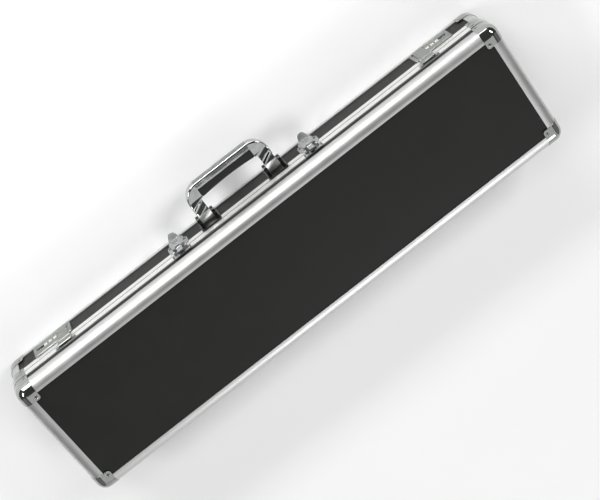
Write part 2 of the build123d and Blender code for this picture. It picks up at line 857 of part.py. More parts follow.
def hasp_pin_span():
    """The X span of the hasp's pin."""
    return lock_span(hasp_centre, hasp_width + 2 * fit + 2 * hasp_knuckle)


def hasp_pin():
    """The pin that carries the hasp."""
    p0, p1 = hasp_pin_span()
    return rod_x(hasp_pin_radius, p0, p1, out(hasp_pivot_height), seam_z - hasp_pivot_drop)


def lock_hasp():
    """The hasp: a knuckle, a cover plate and a wider head that meets the keeper."""
    h0, h1 = lock_span(hasp_centre, hasp_width)
    pivot_z = seam_z - hasp_pivot_drop
    under = lock_face + fit
    head_low = seam_z - lock_drop + fit
    knuckle = rod_x(hasp_knuckle, h0, h1, out(hasp_pivot_height), pivot_z)
    cover = block(h0, h1, out(under + hasp_sheet), out(under), pivot_z, head_low + 1)
    w0, w1 = lock_span(hasp_centre, hasp_head_width)
    head = block(w0, w1, out(hasp_head_rise), out(fit), head_low, seam_z - hasp_front_gap)
    head = fillet(head.edges().filter_by(Axis.Y), 1.0)
    top_edges = [e for e in head.edges() if e.center().Y < out(hasp_head_rise) + 1e-3]
    head = chamfer(top_edges, 0.6)
    bore = rod_x(hasp_pin_radius + pin_play, h0 - 1, h1 + 1, out(hasp_pivot_height), pivot_z)
    return knuckle + cover + head - bore


def lock_slider():
    """The release slider: a block with a finger ridge."""
    x0, x1 = lock_span(slider_centre, slider_width)
    half = slider_height / 2
    bed = lock_face - slider_bed + 0.1
    button = block(x0, x1, out(lock_face + 0.2), out(bed), dial_z() - half, dial_z() + half)
    ridge = block(x0, x1, out(slider_rise), out(bed), dial_z() - half, dial_z() - half + 2.4)
    return button + ridge


def lock_dial(x):
    """A number wheel: a ring with a flat for each digit."""
    outline = RegularPolygon(dial_radius, dial_flats, major_radius=True)
    wheel = extrude(outline, dial_width / 2, both=True)
    wheel = Pos(x, dial_y(), dial_z()) * Rot(0, 90, 0) * wheel
    half = dial_width
    return wheel - rod_x(axle_radius + pin_play, x - half, x + half, dial_y(), dial_z())


def dial_axle():
    """The axle that carries one lock's three dials."""
    reach = 1.5 * dial_pitch
    middle = along_lock(dial_centre)
    return rod_x(axle_radius, middle - reach, middle + reach, dial_y(), dial_z())


def lock_keeper():
    """The keeper on the lid's rail: a raised neck on a wider foot."""
    k0, k1 = lock_span(hasp_centre, hasp_head_width)
    z0 = seam_z + keeper_start
    neck = block(k0, k1, out(keeper_rise), face_y, z0, z0 + keeper_length)
    top_edges = [e for e in neck.edges() if e.center().Y < out(keeper_rise) + 1e-3]
    neck = chamfer(top_edges, 0.8)
    f0, f1 = lock_span(hasp_centre, keeper_foot_width)
    z1 = z0 + keeper_length
    foot = block(f0, f1, out(keeper_foot_rise), face_y, z1 - keeper_foot_length, z1)
    foot = fillet(foot.edges().filter_by(Axis.Y), 1.5)
    return neck + foot


# ---- hinges -------------------------------------------------------------
def knuckle_spans(offset, is_lid):
    """The X spans of one leaf's knuckles on one hinge."""
    pitch = hinge_width / barrel_knuckles
    first = offset - hinge_width / 2
    spans = []
    for k in range(barrel_knuckles):
        if (k % 2 == 1) == is_lid:
            spans.append((first + k * pitch + fit / 2, first + (k + 1) * pitch - fit / 2))
    return spans


def hinge_leaf_piece(offset, is_lid):
    """One hinge leaf with its knuckles, on the hinge-side rail."""
    x0, x1 = offset - hinge_width / 2, offset + hinge_width / 2
    if is_lid:
        leaf = block(x0, x1, back_y, back_y + hinge_leaf, seam_z + seam_gap / 2, seam_z + lid_leaf_height)
    else:
        leaf = block(x0, x1, back_y, back_y + hinge_leaf, seam_z - base_leaf_height, seam_z - seam_gap / 2)
    for a, b in knuckle_spans(offset, not is_lid):
        leaf -= rod_x(barrel_radius + fit, a - fit, b + fit, barrel_y, seam_z)
    for a, b in knuckle_spans(offset, is_lid):
        leaf += rod_x(barrel_radius, a, b, barrel_y, seam_z)
        step = (1 if is_lid else -1) * barrel_radius
        leaf += block(a, b, back_y + fit / 3, barrel_y, seam_z + step * 0.4, seam_z + step)
    bore = hinge_pin_radius + (pin_play if is_lid else 0)
    leaf -= rod_x(bore, x0 - 1, x1 + 1, barrel_y, seam_z)
    return leaf


def hinge_pin_piece(offset):
    """The pin of one hinge."""
    half = hinge_width / 2
    return rod_x(hinge_pin_radius, offset - half, offset + half, barrel_y, seam_z)


def hinge_screws(is_lid):
    """The countersunk screws of every hinge leaf on one half."""
    screws = []
    lift = 0.6 * (lid_leaf_height if is_lid else -base_leaf_height)
    top, bottom = back_y + hinge_leaf, back_y
    for offset in hinge_offsets:
        for side in (-1, 1):
            x, z = offset + side * hinge_width * 0.35, seam_z + lift
            cone = Cone(screw_radius, screw_head_radius, hinge_leaf)
            head = Pos(x, (top + bottom) / 2, z) * Rot(-90, 0, 0) * cone
            screws.append(head + rod_y(screw_radius, back_y - screw_depth, back_y, x, z))
    return screws


# ---- the whole case -----------------------------------------------------
def half_case(name, depth, rail_height, is_lid):
    """Writes the frame, boards, corners and rivets of one half."""
    put = as_lid if is_lid else as_base
    corner_fasteners = put(corner_rivets())
    strap_fasteners = put(strap_rivets(depth, rail_height))
    screws = hinge_screws(is_lid)
    fasteners = corner_fasteners + strap_fasteners + screws
    walls = put(long_boards(depth))
    if not is_lid:
        cutouts = mirrored([lock_rear_box(board_play)], 1) + mirrored([lock_rear_box(board_play)], -1)
        fasteners_here = fasteners + cutouts + latch_rivets()
        walls = drilled(walls, fasteners_here)
    else:
        walls = drilled(walls, fasteners)
    save(f"{name}_panel", drilled(put([face_board()]), corner_fasteners))
    save(f"{name}_long_boards", walls)
    save(f"{name}_end_boards", drilled(put(end_boards(depth)), fasteners))
    save(f"{name}_long_profiles", put(long_profiles()))
    save(f"{name}_end_profiles", put(end_profiles()))
    save(f"{name}_corner_posts", put(corner_posts(depth)))
    save(f"{name}_long_rails", drilled(put(long_rails(depth, rail_height, is_lid)), fasteners))
    save(f"{name}_end_rails", drilled(put(end_rails(depth, rail_height, is_lid)), fasteners))
    save(f"{name}_ball_corners", put(ball_corners()))
    save(f"{name}_rim_straps", put(rim_straps(depth, rail_height)))
    save(f"{name}_rivets", corner_fasteners + strap_fasteners)
    leaves = [hinge_leaf_piece(offset, is_lid) for offset in hinge_offsets]
    save(f"{name}_hinge_leaves", drilled(leaves, screws))
    save(f"{name}_hinge_screws", screws)


def interior():
    """Writes the foam pieces."""
    save("lid_pad", as_lid([bedded_pad(lid_pad_depth)]))
    save("floor_pad", as_base([bedded_pad(floor_pad_top)]))
    save("cue_dividers", as_base(dividers()))
    save("end_blocks", as_base(end_blocks()))


def carrying_handle():
    """Writes the handle, its grip, brackets and pins."""
    save("handle_frame", [handle_frame()])
    save("handle_grip", [handle_grip()])
    save("handle_brackets", both_sides(handle_bracket(), Plane.YZ))
    save("handle_pins", both_sides(handle_pin(), Plane.YZ))


def draw_latches():
    """Writes both draw latches."""
    for name, side in (("left", 1), ("right", -1)):
        save(f"{name}_latch_lever", mirrored([latch_lever()], side))
        save(f"{name}_latch_claw", mirrored([latch_claw()], side))
        save(f"{name}_latch_claw_pin", mirrored([latch_claw_pin()], side))
    save("latch_plates", both_sides(latch_plate(), Plane.YZ))
    save("latch_rivets", latch_rivets())
    save("latch_lever_pins", latch_lever_pins())
    save("latch_catches", both_sides(latch_catch(), Plane.YZ))


def combination_locks():
    """Writes both combination locks."""
    for name, side in (("left", 1), ("right", -1)):
        save(f"{name}_lock_hasp", mirrored([lock_hasp()], side))
        save(f"{name}_lock_slider", mirrored([lock_slider()], side))
        for number, x in enumerate(dial_centres(), 1):
            save(f"{name}_lock_dial_{number}", mirrored([lock_dial(x)], side))
    save("lock_plates", both_sides(lock_plate(), Plane.YZ))
    save("lock_axles", both_sides(dial_axle(), Plane.YZ))
    save("lock_hasp_pins", both_sides(hasp_pin(), Plane.YZ))
    save("lock_keepers", both_sides(lock_keeper(), Plane.YZ))


def hinge_pins():
    """Writes the hinge pins."""
    save("hinge_pins", [hinge_pin_piece(offset) for offset in hinge_offsets])


os.makedirs("parts", exist_ok=True)
half_case("base", base_depth, base_rail_height, False)
half_case("lid", lid_depth, lid_rail_height, True)
interior()
carrying_handle()
draw_latches()
combination_locks()
hinge_pins()
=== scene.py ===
import math

import bmesh
import bpy
from mathutils import Matrix, Vector


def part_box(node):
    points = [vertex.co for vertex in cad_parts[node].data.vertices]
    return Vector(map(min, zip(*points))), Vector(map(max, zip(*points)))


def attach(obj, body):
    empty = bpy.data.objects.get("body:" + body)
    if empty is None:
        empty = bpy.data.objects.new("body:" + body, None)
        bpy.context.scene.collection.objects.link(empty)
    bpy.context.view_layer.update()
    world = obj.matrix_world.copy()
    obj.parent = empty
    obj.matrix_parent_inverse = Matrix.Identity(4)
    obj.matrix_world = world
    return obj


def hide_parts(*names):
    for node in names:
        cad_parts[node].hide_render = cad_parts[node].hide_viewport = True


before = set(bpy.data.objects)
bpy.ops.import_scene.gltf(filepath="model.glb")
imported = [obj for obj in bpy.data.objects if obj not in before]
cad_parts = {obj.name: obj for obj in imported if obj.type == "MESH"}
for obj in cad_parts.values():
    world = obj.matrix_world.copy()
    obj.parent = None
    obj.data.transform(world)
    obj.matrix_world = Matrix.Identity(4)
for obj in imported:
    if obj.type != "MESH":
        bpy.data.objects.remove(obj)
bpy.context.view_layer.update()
MM = 0.001


# ---- Frame extrusions ----------------------------------------------------
# The case is held together by extruded aluminium: rounded profiles on every
# outer edge and a closure rail round each rim. They are cut to length, satin
# anodised before assembly, and the boards are pushed into their slots.

def linear(hex_colour):
    """An sRGB hex colour as linear red, green, blue and a full alpha."""
    channels = [int(hex_colour[i:i + 2], 16) / 255 for i in (1, 3, 5)]
    return [c / 12.92 if c <= 0.04045 else ((c + 0.055) / 1.055) ** 2.4 for c in channels] + [1.0]


def new_material(name):
    """An empty node material and its tree."""
    material = bpy.data.materials.new(name)
    material.use_nodes = True
    material.node_tree.nodes.clear()
    return material, material.node_tree


def add(tree, kind, sockets=None, stops=(), **settings):
    """Adds one node: its settings, its colour stops, and what feeds or fills its sockets."""
    node = tree.nodes.new(kind)
    for key, value in settings.items():
        name = key.replace("_", " ") if key[0].isupper() else key
        if name in node.inputs:
            node.inputs[name].default_value = value
        else:
            setattr(node, key, value)
    for number, (position, colour) in enumerate(stops):
        node.color_ramp.elements[number].position = position
        node.color_ramp.elements[number].color = linear(colour)
    for name, source in (sockets or {}).items():
        if isinstance(source, bpy.types.NodeSocket):
            tree.links.new(source, node.inputs[name])
        else:
            node.inputs[name].default_value = source
    return node


def feed_of(shader, name):
    """The socket that feeds one of a shader's inputs."""
    return shader.inputs[name].links[0].from_socket


def dress(material, *names):
    """Gives CAD nodes a material."""
    for name in names:
        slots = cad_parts[name].data.materials
        slots.clear()
        slots.append(material)


# Satin anodised 6063 aluminium: etched and anodised, so fine die lines run
# along each extrusion and the highlight spreads into one broad soft band.
die_line = 0.6 * MM                        # coarser than the real lines, so that they show
die_relief = 0.03 * MM
etch_cloud = 35 * MM


def anodised_aluminium(name, along, light, dark, haze_low, haze_high):
    material, tree = new_material(f"{name}_along_{along}")
    place = add(tree, "ShaderNodeTexCoord")
    stretch = {"x": (0.02, 1, 1), "y": (1, 0.02, 1), "z": (1, 1, 0.02)}[along]
    lay = add(tree, "ShaderNodeMapping", {"Vector": place.outputs["Object"]}, Scale=stretch)
    lines = add(tree, "ShaderNodeTexNoise", {"Vector": lay.outputs["Vector"]},
                Scale=1 / die_line, Detail=4.0, Roughness=0.6)
    cloud = add(tree, "ShaderNodeTexNoise", {"Vector": place.outputs["Object"]},
                Scale=1 / etch_cloud, Detail=3.0)
    tint = add(tree, "ShaderNodeValToRGB", {"Fac": lines.outputs["Fac"]},
               stops=((0.3, dark), (0.7, light)))
    haze = add(tree, "ShaderNodeMapRange", {"Value": cloud.outputs["Fac"]},
               From_Min=0.3, From_Max=0.7, To_Min=haze_low, To_Max=haze_high)
    relief = add(tree, "ShaderNodeBump", {"Height": lines.outputs["Fac"]},
                 Strength=0.12, Distance=die_relief)
    shader = add(tree, "ShaderNodeBsdfPrincipled",
                 {"Base Color": tint.outputs["Color"], "Roughness": haze.outputs["Result"],
                  "Normal": relief.outputs["Normal"]}, Metallic=1.0)
    add(tree, "ShaderNodeOutputMaterial", {"Surface": shader.outputs["BSDF"]})
    return material


satin = {axis: anodised_aluminium("satin_anodised_aluminium", axis, "#D2D3D2", "#C0C1C0", 0.40, 0.46)
         for axis in "xyz"}
# The closure rails take a lighter copy of the same aluminium: a painted reflection of the bright floor they
# face.
rails_painted_light = {axis: anodised_aluminium("rail_aluminium_painted_light", axis, "#F2F2F0", "#E6E6E4", 0.46, 0.52)
          for axis in "xy"}

# A dark line is painted on the rails where the two rims meet: painted shade for the gap between them.
half_gap = 0.4 * MM
seam_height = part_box("lid_long_rails")[0].z - half_gap
seam_shade_reach = half_gap + 0.3 * MM
for rail in rails_painted_light.values():
    tree = rail.node_tree
    shader = tree.nodes["Principled BSDF"]
    place = add(tree, "ShaderNodeTexCoord")
    axes = add(tree, "ShaderNodeSeparateXYZ", {"Vector": place.outputs["Object"]})
    in_seam = add(tree, "ShaderNodeMath", {0: axes.outputs["Z"], 1: seam_height, 2: seam_shade_reach},
                  operation="COMPARE")
    # Painted shade: the rail colour turns dark close to the seam.
    seam_shade_mix = add(tree, "ShaderNodeMix",
                {0: in_seam.outputs[0], 6: feed_of(shader, "Base Color"), 7: linear("#3C3A36")},
                data_type="RGBA")
    tree.links.new(seam_shade_mix.outputs[2], shader.inputs["Base Color"])

for half in ("base", "lid"):
    dress(satin["x"], f"{half}_long_profiles")
    dress(satin["y"], f"{half}_end_profiles")
    dress(satin["z"], f"{half}_corner_posts")
    dress(rails_painted_light["x"], f"{half}_long_rails")
    dress(rails_painted_light["y"], f"{half}_end_rails")


# ---- Boards --------------------------------------------------------------
# Thin fibreboard faced with a black embossed laminate. The boards are cut
# square and held by the slots of the extrusions.

# Black high-pressure laminate: a fine pressed pebble, so it stays matt and
# only a faint grey sheen shows.
pebble_size, pebble_relief = 0.9 * MM, 0.05 * MM    # about twice the real emboss, so that it shows
smudge_size = 60 * MM


def black_laminate():
    material, tree = new_material("black_embossed_laminate")
    place = add(tree, "ShaderNodeTexCoord")
    pebble = add(tree, "ShaderNodeTexVoronoi", {"Vector": place.outputs["Object"]},
                 Scale=1 / pebble_size)
    smudge = add(tree, "ShaderNodeTexNoise", {"Vector": place.outputs["Object"]},
                 Scale=1 / smudge_size, Detail=5.0, Roughness=0.6)
    tint = add(tree, "ShaderNodeValToRGB", {"Fac": smudge.outputs["Fac"]},
               stops=((0.3, "#151514"), (0.75, "#1A1A19")))
    sheen = add(tree, "ShaderNodeMapRange", {"Value": smudge.outputs["Fac"]},
                From_Min=0.3, From_Max=0.7, To_Min=0.44, To_Max=0.52)
    relief = add(tree, "ShaderNodeBump", {"Height": pebble.outputs["Distance"]},
                 Strength=0.25, Distance=pebble_relief)
    shader = add(tree, "ShaderNodeBsdfPrincipled",
                 {"Base Color": tint.outputs["Color"], "Roughness": sheen.outputs["Result"],
                  "Normal": relief.outputs["Normal"]}, Specular_IOR_Level=0.26)
    add(tree, "ShaderNodeOutputMaterial", {"Surface": shader.outputs["BSDF"]})
    return material


laminate = black_laminate()
for half in ("base", "lid"):
    dress(laminate, f"{half}_panel", f"{half}_long_boards", f"{half}_end_boards")


# ---- Chrome corners and rim straps ---------------------------------------
# Pressed steel, bright chrome plated. The ball corners cover the ends of three
# profiles, the straps cover the ends of the closure rails, and tubular rivets
# hold both.

# Bright chrome over polished steel: mirror sharp, with faint polishing haze,
# softly rolled edges, and not quite flat, so that reflections bend across
# each pressing.
polish_patch = 9 * MM
rolled_edge = 0.35 * MM


def chrome_plate(name, light, dark, wave_size, wave_height, haze_low=0.07, haze_high=0.15):
    material, tree = new_material(name)
    place = add(tree, "ShaderNodeTexCoord")
    haze = add(tree, "ShaderNodeTexNoise", {"Vector": place.outputs["Object"]},
               Scale=1 / polish_patch, Detail=3.0, Roughness=0.55)
    rough = add(tree, "ShaderNodeMapRange", {"Value": haze.outputs["Fac"]},
                From_Min=0.35, From_Max=0.75, To_Min=haze_low, To_Max=haze_high)
    tint = add(tree, "ShaderNodeValToRGB", {"Fac": haze.outputs["Fac"]},
               stops=((0.3, light), (0.8, dark)))
    wave = add(tree, "ShaderNodeTexNoise", {"Vector": place.outputs["Object"]},
               Scale=1 / wave_size, Detail=1.0)
    soft_edge = add(tree, "ShaderNodeBevel", samples=6, Radius=rolled_edge)
    relief = add(tree, "ShaderNodeBump",
                 {"Height": wave.outputs["Fac"], "Normal": soft_edge.outputs["Normal"]},
                 Strength=1.0, Distance=wave_height)
    shader = add(tree, "ShaderNodeBsdfPrincipled",
                 {"Base Color": tint.outputs["Color"], "Roughness": rough.outputs["Result"],
                  "Normal": relief.outputs["Normal"]}, Metallic=1.0)
    add(tree, "ShaderNodeOutputMaterial", {"Surface": shader.outputs["BSDF"]})
    return material


# Plain zinc-plated steel: duller and greyer than the chrome, with a grain.
zinc_grain = 0.8 * MM


def zinc_steel():
    material, tree = new_material("zinc_plated_steel")
    place = add(tree, "ShaderNodeTexCoord")
    grain = add(tree, "ShaderNodeTexNoise", {"Vector": place.outputs["Object"]},
                Scale=1 / zinc_grain, Detail=5.0)
    tint = add(tree, "ShaderNodeValToRGB", {"Fac": grain.outputs["Fac"]},
               stops=((0.0, "#6F7070"), (1.0, "#9A9B9A")))
    rough = add(tree, "ShaderNodeMapRange", {"Value": grain.outputs["Fac"]}, To_Min=0.3, To_Max=0.5)
    shader = add(tree, "ShaderNodeBsdfPrincipled",
                 {"Base Color": tint.outputs["Color"], "Roughness": rough.outputs["Result"]}, Metallic=1.0)
    add(tree, "ShaderNodeOutputMaterial", {"Surface": shader.outputs["BSDF"]})
    return material


corner_chrome = chrome_plate("bright_chrome_on_pressed_steel", "#AEB0AE", "#A2A4A2", 7 * MM, 0.05 * MM)
steel = zinc_steel()
for half in ("base", "lid"):
    dress(corner_chrome, f"{half}_ball_corners", f"{half}_rim_straps")
    dress(steel, f"{half}_rivets")


# ---- Hinges --------------------------------------------------------------
# Three rolled steel leaf hinges on the back rails, screwed on, with a plain
# steel pin each.

dress(corner_chrome, "base_hinge_leaves", "lid_hinge_leaves")
dress(steel, "base_hinge_screws", "lid_hinge_screws", "hinge_pins")


# ---- Carrying handle -----------------------------------------------------
# A die-cast bail, chrome plated, with a band of fine lines rolled into its cap
# and a black moulded grip under it. It turns on headed pins in two black
# lacquered die-cast brackets.

# The casting's crown streaks the reflections across the lower arms. The feet are made rougher and painted
# whiter, a painted highlight, and the grooves of the lines along the cap are painted dark, a painted shade.
bail_low, bail_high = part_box("handle_frame")
grip_low, grip_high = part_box("handle_grip")
line_pitch, line_depth = 1.5 * MM, 0.05 * MM
cap_edge = grip_low.y - 2.5 * MM
foot_start = bail_high.y - 13.5 * MM
crown_pitch, crown_height, crown_angle = 15 * MM, 2.2 * MM, math.radians(62)
foot_roughness = 0.52
groove_shade_below = -0.1

bail_chrome = chrome_plate("bright_chrome_on_lined_casting", "#C4C6C6", "#B6B8B8", 26 * MM, 1.4 * MM)
tree = bail_chrome.node_tree
shader = tree.nodes["Principled BSDF"]
place = add(tree, "ShaderNodeTexCoord")
axes = add(tree, "ShaderNodeSeparateXYZ", {"Vector": place.outputs["Object"]})

crown_lay = add(tree, "ShaderNodeMapping", {"Vector": place.outputs["Object"]}, Rotation=(0, 0, crown_angle))
crown = add(tree, "ShaderNodeTexWave", {"Vector": crown_lay.outputs["Vector"]},
            Scale=math.tau / 20 / crown_pitch, Distortion=1.6, Detail=1.0, Detail_Scale=0.6)
lower_arm = add(tree, "ShaderNodeMapRange", {"Value": axes.outputs["Y"]},
                From_Min=foot_start - 22 * MM, From_Max=foot_start - 14 * MM, To_Min=0.0, To_Max=1.0)
streaks = add(tree, "ShaderNodeMath", {0: crown.outputs["Fac"], 1: lower_arm.outputs["Result"]},
              operation="MULTIPLY")
crowned = add(tree, "ShaderNodeBump",
              {"Height": streaks.outputs[0], "Normal": feed_of(shader, "Normal")},
              Strength=1.0, Distance=crown_height)

from_middle = add(tree, "ShaderNodeMath", {0: axes.outputs["X"]}, operation="ABSOLUTE")
in_length = add(tree, "ShaderNodeMath", {0: from_middle.outputs[0], 1: (grip_high.x - grip_low.x) / 2},
                operation="LESS_THAN")
in_cap = add(tree, "ShaderNodeMath", {0: axes.outputs["Y"], 1: cap_edge}, operation="LESS_THAN")
lined = add(tree, "ShaderNodeMath", {0: in_length.outputs[0], 1: in_cap.outputs[0]}, operation="MULTIPLY")
round_cap = add(tree, "ShaderNodeMath", {0: axes.outputs["Z"], 1: axes.outputs["Y"]}, operation="SUBTRACT")
turns = add(tree, "ShaderNodeMath", {0: round_cap.outputs[0], 1: math.tau / line_pitch},
            operation="MULTIPLY")
groove = add(tree, "ShaderNodeMath", {0: turns.outputs[0]}, operation="SINE")
lines = add(tree, "ShaderNodeMath", {0: groove.outputs[0], 1: lined.outputs[0]}, operation="MULTIPLY")
ribs = add(tree, "ShaderNodeBump", {"Height": lines.outputs[0], "Normal": crowned.outputs["Normal"]},
           Strength=1.0, Distance=line_depth)
tree.links.new(ribs.outputs["Normal"], shader.inputs["Normal"])

in_foot = add(tree, "ShaderNodeMath", {0: axes.outputs["Y"], 1: foot_start}, operation="GREATER_THAN")
foot_satin = add(tree, "ShaderNodeMath", {0: in_foot.outputs[0], 1: foot_roughness}, operation="MULTIPLY")
rougher = add(tree, "ShaderNodeMath", {0: foot_satin.outputs[0], 1: feed_of(shader, "Roughness")},
              operation="MAXIMUM")
tree.links.new(rougher.outputs[0], shader.inputs["Roughness"])
# Painted shade: the grooves of the cap lines take a dark colour.
in_groove = add(tree, "ShaderNodeMath", {0: lines.outputs[0], 1: groove_shade_below}, operation="LESS_THAN")
grooves_painted_dark = add(tree, "ShaderNodeMix",
             {0: in_groove.outputs[0], 6: feed_of(shader, "Base Color"), 7: linear("#2A2624")},
             data_type="RGBA")
# Painted highlight: the feet take a whiter base colour.
feet_painted_light = add(tree, "ShaderNodeMix", {0: in_foot.outputs[0], 6: grooves_painted_dark.outputs[2], 7: linear("#F4F4F2")},
             data_type="RGBA")
tree.links.new(feet_painted_light.outputs[2], shader.inputs["Base Color"])
dress(bail_chrome, "handle_frame")
dress(steel, "handle_pins")


# Black lacquer on the castings: glossy, so it shows only thin bright edges.
orange_peel, peel_relief = 1.6 * MM, 0.05 * MM
lacquer_wear = 11 * MM


def black_lacquer():
    material, tree = new_material("black_lacquered_casting")
    place = add(tree, "ShaderNodeTexCoord")
    peel = add(tree, "ShaderNodeTexNoise", {"Vector": place.outputs["Object"]},
               Scale=1 / orange_peel, Detail=2.0)
    wear = add(tree, "ShaderNodeTexNoise", {"Vector": place.outputs["Object"]},
               Scale=1 / lacquer_wear, Detail=5.0, Roughness=0.7)
    tint = add(tree, "ShaderNodeValToRGB", {"Fac": wear.outputs["Fac"]},
               stops=((0.0, "#0B0B0B"), (1.0, "#161616")))
    rough = add(tree, "ShaderNodeMapRange", {"Value": wear.outputs["Fac"]}, To_Min=0.12, To_Max=0.3)
    relief = add(tree, "ShaderNodeBump", {"Height": peel.outputs["Fac"]},
                 Strength=0.4, Distance=peel_relief)
    shader = add(tree, "ShaderNodeBsdfPrincipled",
                 {"Base Color": tint.outputs["Color"], "Roughness": rough.outputs["Result"],
                  "Normal": relief.outputs["Normal"]})
    add(tree, "ShaderNodeOutputMaterial", {"Surface": shader.outputs["BSDF"]})
    return material


dress(black_lacquer(), "handle_brackets")


# Moulded black vinyl with a leather grain: matt, with broken highlights.
leather_cell, leather_relief = 1.8 * MM, 0.6 * MM
leather_pore = 0.7 * MM


def grained_vinyl():
    material, tree = new_material("leather_grained_black_vinyl")
    place = add(tree, "ShaderNodeTexCoord")
    crease = add(tree, "ShaderNodeTexVoronoi", {"Vector": place.outputs["Object"]},
                 Scale=1 / leather_cell, feature="DISTANCE_TO_EDGE")
    pore = add(tree, "ShaderNodeTexNoise", {"Vector": place.outputs["Object"]},
               Scale=1 / leather_pore, Detail=3.0)
    tint = add(tree, "ShaderNodeValToRGB", {"Fac": pore.outputs["Fac"]},
               stops=((0.0, "#111111"), (1.0, "#1E1E1E")))
    height = add(tree, "ShaderNodeMath", {0: crease.outputs["Distance"], 1: 0.12, 2: 0.1},
                 operation="SMOOTH_MIN")
    rough = add(tree, "ShaderNodeMapRange", {"Value": pore.outputs["Fac"]}, To_Min=0.38, To_Max=0.6)
    relief = add(tree, "ShaderNodeBump", {"Height": height.outputs[0]},
                 Strength=0.8, Distance=leather_relief)
    shader = add(tree, "ShaderNodeBsdfPrincipled",
                 {"Base Color": tint.outputs["Color"], "Roughness": rough.outputs["Result"],
                  "Normal": relief.outputs["Normal"]})
    add(tree, "ShaderNodeOutputMaterial", {"Surface": shader.outputs["BSDF"]})
    return material


def only(piece):
    """Makes this the one selected and active object."""
    bpy.ops.object.select_all(action="DESELECT")
    piece.select_set(True)
    bpy.context.view_layer.objects.active = piece


def apply_modifier(piece, kind, **settings):
    """Adds a modifier with its settings and applies it."""
    modifier = piece.modifiers.new(kind.lower(), kind)
    for key, value in settings.items():
        setattr(modifier, key, value)
    only(piece)
    bpy.ops.object.modifier_apply(modifier=modifier.name)


def finish_piece(piece, material, body, slot, *nodes):
    """Gives a finished piece its material and its body, and hides the nodes it stands for. The slot is not
    used.
    """
    piece.data.materials.clear()
    piece.data.materials.append(material)
    only(piece)
    bpy.ops.object.shade_smooth_by_angle(angle=math.radians(50))
    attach(piece, body)
    if nodes:
        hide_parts(*nodes)


# The grip is moulded with soft edges, so a merged copy of its CAD shape is
# rounded all round.
sharp_edge = math.radians(40)
grip_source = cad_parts["handle_grip"]
grip = bpy.data.objects.new("moulded_grip", grip_source.data.copy())
grip.matrix_world = grip_source.matrix_world.copy()
bpy.context.scene.collection.objects.link(grip)
only(grip)
bpy.ops.object.transform_apply(location=True, rotation=True, scale=True)
bpy.ops.object.mode_set(mode="EDIT")
bpy.ops.mesh.select_all(action="SELECT")
bpy.ops.mesh.remove_doubles(threshold=0.01 * MM)
bpy.ops.mesh.dissolve_limited(angle_limit=math.radians(0.5))
bpy.ops.mesh.normals_make_consistent(inside=False)
bpy.ops.object.mode_set(mode="OBJECT")
apply_modifier(grip, "BEVEL", width=2.6 * MM, segments=5, limit_method="ANGLE", angle_limit=sharp_edge)
finish_piece(grip, grained_vinyl(), "handle", "grip", "handle_grip")


# ---- Draw latches --------------------------------------------------------
# Pressed and chrome plated: a riveted plate with two ears, a lever with a
# domed finger tab, and a claw that reaches over the catch on the lid.

# Thin bright pressings, a little rippled and dulled by the press tool.
latch_chrome = chrome_plate("bright_chrome_on_thin_pressings", "#B9BBBB", "#ABADAD", 6 * MM, 0.04 * MM,
                            0.18, 0.28)
dress(latch_chrome, "latch_plates", "latch_catches")
for side in ("left", "right"):
    dress(latch_chrome, f"{side}_latch_lever", f"{side}_latch_claw")
    dress(steel, f"{side}_latch_claw_pin")
dress(steel, "latch_rivets", "latch_lever_pins")


# ---- Combination locks ---------------------------------------------------
# A die-cast plate with three number wheels, a sliding release and a hasp that
# drops over the keeper on the lid. The wheels are moulded, with their figures
# filled in black.

# Die-cast zinc in satin nickel: duller than the chrome, with a soft grey glow.
lock_nickel = chrome_plate("satin_nickel_on_die_casting", "#9FA19D", "#90928F", 9 * MM, 0.03 * MM,
                           0.26, 0.36)
dress(lock_nickel, "lock_plates", "lock_keepers")
dress(steel, "lock_axles", "lock_hasp_pins")
for side in ("left", "right"):
    dress(lock_nickel, f"{side}_lock_hasp", f"{side}_lock_slider")

# Moulded wheels and filled figures: a fine satin plastic, in cream or in black.
moulding_speck = 0.5 * MM


def satin_plastic(name, light, dark):
    material, tree = new_material(name)
    place = add(tree, "ShaderNodeTexCoord")
    speck = add(tree, "ShaderNodeTexNoise", {"Vector": place.outputs["Object"]},
                Scale=1 / moulding_speck, Detail=3.0)
    tint = add(tree, "ShaderNodeValToRGB", {"Fac": speck.outputs["Fac"]},
               stops=((0.0, dark), (1.0, light)))
    rough = add(tree, "ShaderNodeMapRange", {"Value": speck.outputs["Fac"]}, To_Min=0.3, To_Max=0.45)
    shader = add(tree, "ShaderNodeBsdfPrincipled",
                 {"Base Color": tint.outputs["Color"], "Roughness": rough.outputs["Result"]})
    add(tree, "ShaderNodeOutputMaterial", {"Surface": shader.outputs["BSDF"]})
    return material


